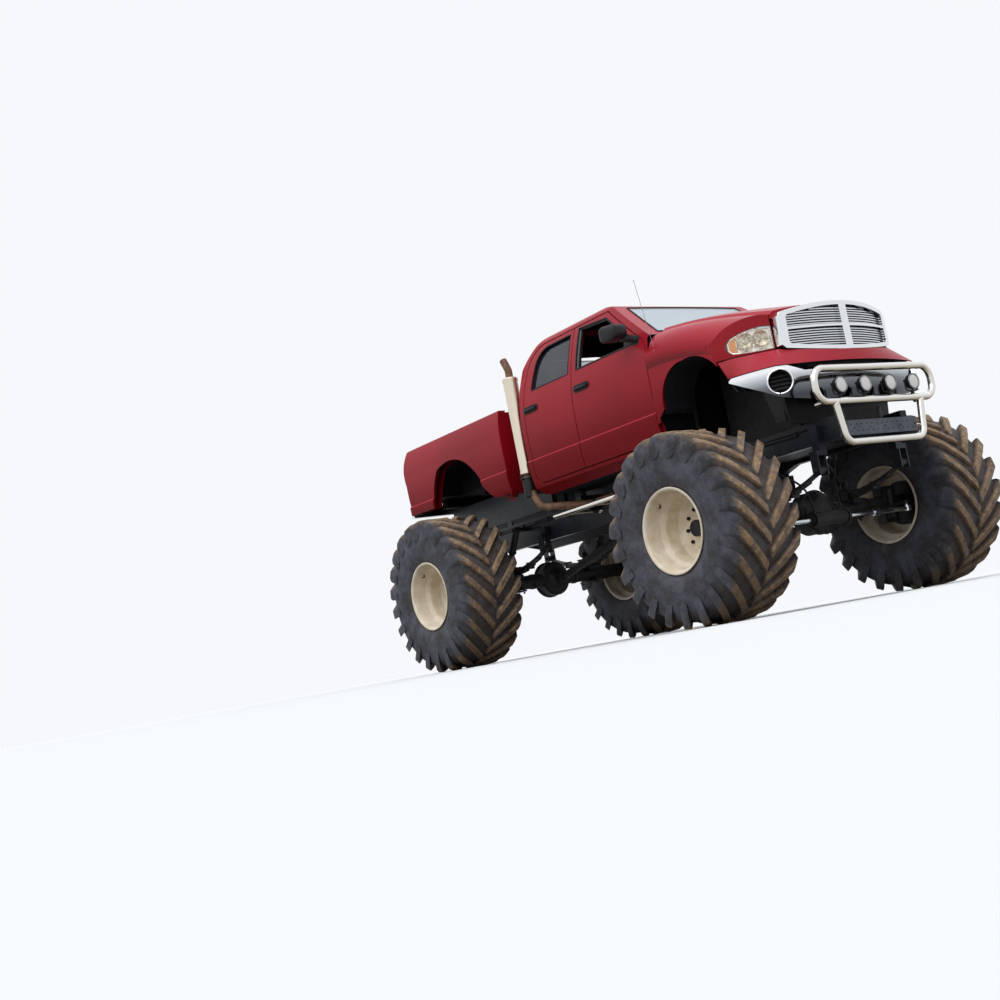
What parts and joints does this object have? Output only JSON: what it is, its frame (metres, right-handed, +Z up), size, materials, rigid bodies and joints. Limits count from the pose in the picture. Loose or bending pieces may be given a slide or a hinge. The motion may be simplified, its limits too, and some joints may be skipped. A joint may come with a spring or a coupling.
{
  "type": "monster truck",
  "caption": "Four-door pickup body on a raised ladder frame with large lugged tractor tyres, steered front axle, opening doors, hood and tailgate.",
  "frame": {"origin": "on the ground under the middle of the truck's bounding box", "axes": "+X forward along the truck, +Y to its left, +Z up"},
  "size_m": [6.04, 3.28, 3.0897],
  "materials": {
    "red_paint": "gloss",
    "dark_frame": "satin",
    "grey_plate": "satin",
    "black_plastic": "matte",
    "chrome": "polished",
    "stainless": "polished",
    "glass": "clear",
    "tinted_glass": "tinted",
    "lamp": "clear",
    "red_lamp": "gloss",
    "tyre": "dusty",
    "cream_rim": "satin",
    "cast_black": "matte",
    "spring_steel": "satin",
    "polished_steel": "polished",
    "shield": "satin",
    "brown_pipe": "matte",
    "seat_fabric": "matte",
    "alloy_fins": "matte"
  },
  "bodies": {
    "truck": {"rail_right": "dark_frame", "rail_left": "dark_frame", "cross_members": "dark_frame", "body_mounts": "dark_frame", "spring_hangers": "dark_frame", "radiator_support": "black_plastic", "front_beam": "grey_plate", "oil_cooler": "alloy_fins", "power_train": "cast_black", "drive_shafts": "cast_black", "cab_shell": "red_paint", "fixed_glass": "glass", "interior": "seat_fabric", "fenders": "red_paint", "inner_front": "black_plastic", "headlamps": "lamp", "bumper_cover": "red_paint", "front_bumper": "chrome", "bull_bar": "stainless", "spot_lamps": "stainless", "bed_tub": "red_paint", "bedsides": "red_paint", "tail_lamps": "red_lamp", "rear_bumper": "chrome", "exhaust_shields": "shield", "exhaust_pipes": "brown_pipe", "step_bars": "stainless", "front_axle": "cast_black", "rear_axle": "cast_black", "leaf_springs": "spring_steel", "shock_absorbers": "spring_steel"},
    "door_front_right": {"door_front_right": "red_paint", "door_trim_front_right": "black_plastic"},
    "door_front_left": {"door_front_left": "red_paint", "door_trim_front_left": "black_plastic", "glass_front_left": "glass"},
    "door_rear_right": {"door_rear_right": "red_paint", "handle_rear_right": "black_plastic", "glass_rear_right": "tinted_glass"},
    "door_rear_left": {"door_rear_left": "red_paint", "handle_rear_left": "black_plastic", "glass_rear_left": "tinted_glass"},
    "hood": {"hood": "red_paint", "grille_surround": "chrome", "grille_bars": "chrome"},
    "tailgate": {"tailgate": "red_paint"},
    "steering_rod": {"steering_rod": "polished_steel"},
    "knuckle_right": {"knuckle_right": "cast_black"},
    "knuckle_left": {"knuckle_left": "cast_black"},
    "wheel_front_right": {"rim_front_right": "cream_rim", "tyre_front_right": "tyre"},
    "wheel_front_left": {"rim_front_left": "cream_rim", "tyre_front_left": "tyre"},
    "wheel_rear_right": {"rim_rear_right": "cream_rim", "tyre_rear_right": "tyre"},
    "wheel_rear_left": {"rim_rear_left": "cream_rim", "tyre_rear_left": "tyre"}
  },
  "joints": [
    {"name": "spin_front_right", "type": "hinge", "parent": "knuckle_right", "child": "wheel_front_right", "pos_m": [2.018, -1.288, 0.79466], "axis": [0, 1, 0], "continuous": true},
    {"name": "spin_front_left", "type": "hinge", "parent": "knuckle_left", "child": "wheel_front_left", "pos_m": [2.018, 1.288, 0.79466], "axis": [0, 1, 0], "continuous": true},
    {"name": "spin_rear_right", "type": "hinge", "parent": "truck", "child": "wheel_rear_right", "pos_m": [-1.85, -1.288, 0.79466], "axis": [0, 1, 0], "continuous": true},
    {"name": "spin_rear_left", "type": "hinge", "parent": "truck", "child": "wheel_rear_left", "pos_m": [-1.85, 1.288, 0.79466], "axis": [0, 1, 0], "continuous": true},
    {"name": "steer_right", "type": "hinge", "parent": "truck", "child": "knuckle_right", "pos_m": [2.018, -1.06, 0.79466], "axis": [0, 0, 1], "range_deg": [-22, 22]},
    {"name": "steer_left", "type": "hinge", "parent": "truck", "child": "knuckle_left", "pos_m": [2.018, 1.06, 0.79466], "axis": [0, 0, 1], "range_deg": [-22, 22]},
    {"name": "steering_rod_slide", "type": "slide", "parent": "truck", "child": "steering_rod", "axis": [0, 1, 0], "range_m": [-0.0773, 0.0773]},
    {"name": "door_front_right_hinge", "type": "hinge", "parent": "truck", "child": "door_front_right", "pos_m": [1.389, -0.985, 2.05966], "axis": [0, 0, 1], "range_deg": [0, 65]},
    {"name": "door_front_left_hinge", "type": "hinge", "parent": "truck", "child": "door_front_left", "pos_m": [1.389, 0.985, 2.05966], "axis": [0, 0, -1], "range_deg": [0, 65]},
    {"name": "door_rear_right_hinge", "type": "hinge", "parent": "truck", "child": "door_rear_right", "pos_m": [0.2625, -0.985, 2.05966], "axis": [0, 0, 1], "range_deg": [0, 65]},
    {"name": "door_rear_left_hinge", "type": "hinge", "parent": "truck", "child": "door_rear_left", "pos_m": [0.2625, 0.985, 2.05966], "axis": [0, 0, -1], "range_deg": [0, 65]},
    {"name": "hood_hinge", "type": "hinge", "parent": "truck", "child": "hood", "pos_m": [1.505, 0, 2.60466], "axis": [0, -1, 0], "range_deg": [0, 50]},
    {"name": "tailgate_hinge", "type": "hinge", "parent": "truck", "child": "tailgate", "pos_m": [-2.913, 0, 1.94566], "axis": [0, -1, 0], "range_deg": [0, 90]}
  ],
  "couplings": [
    {"joint": "steer_left", "follows": "steer_right", "ratio": 1},
    {"joint": "steering_rod_slide", "follows": "steer_right", "m_per_rad": 0.2}
  ]
}
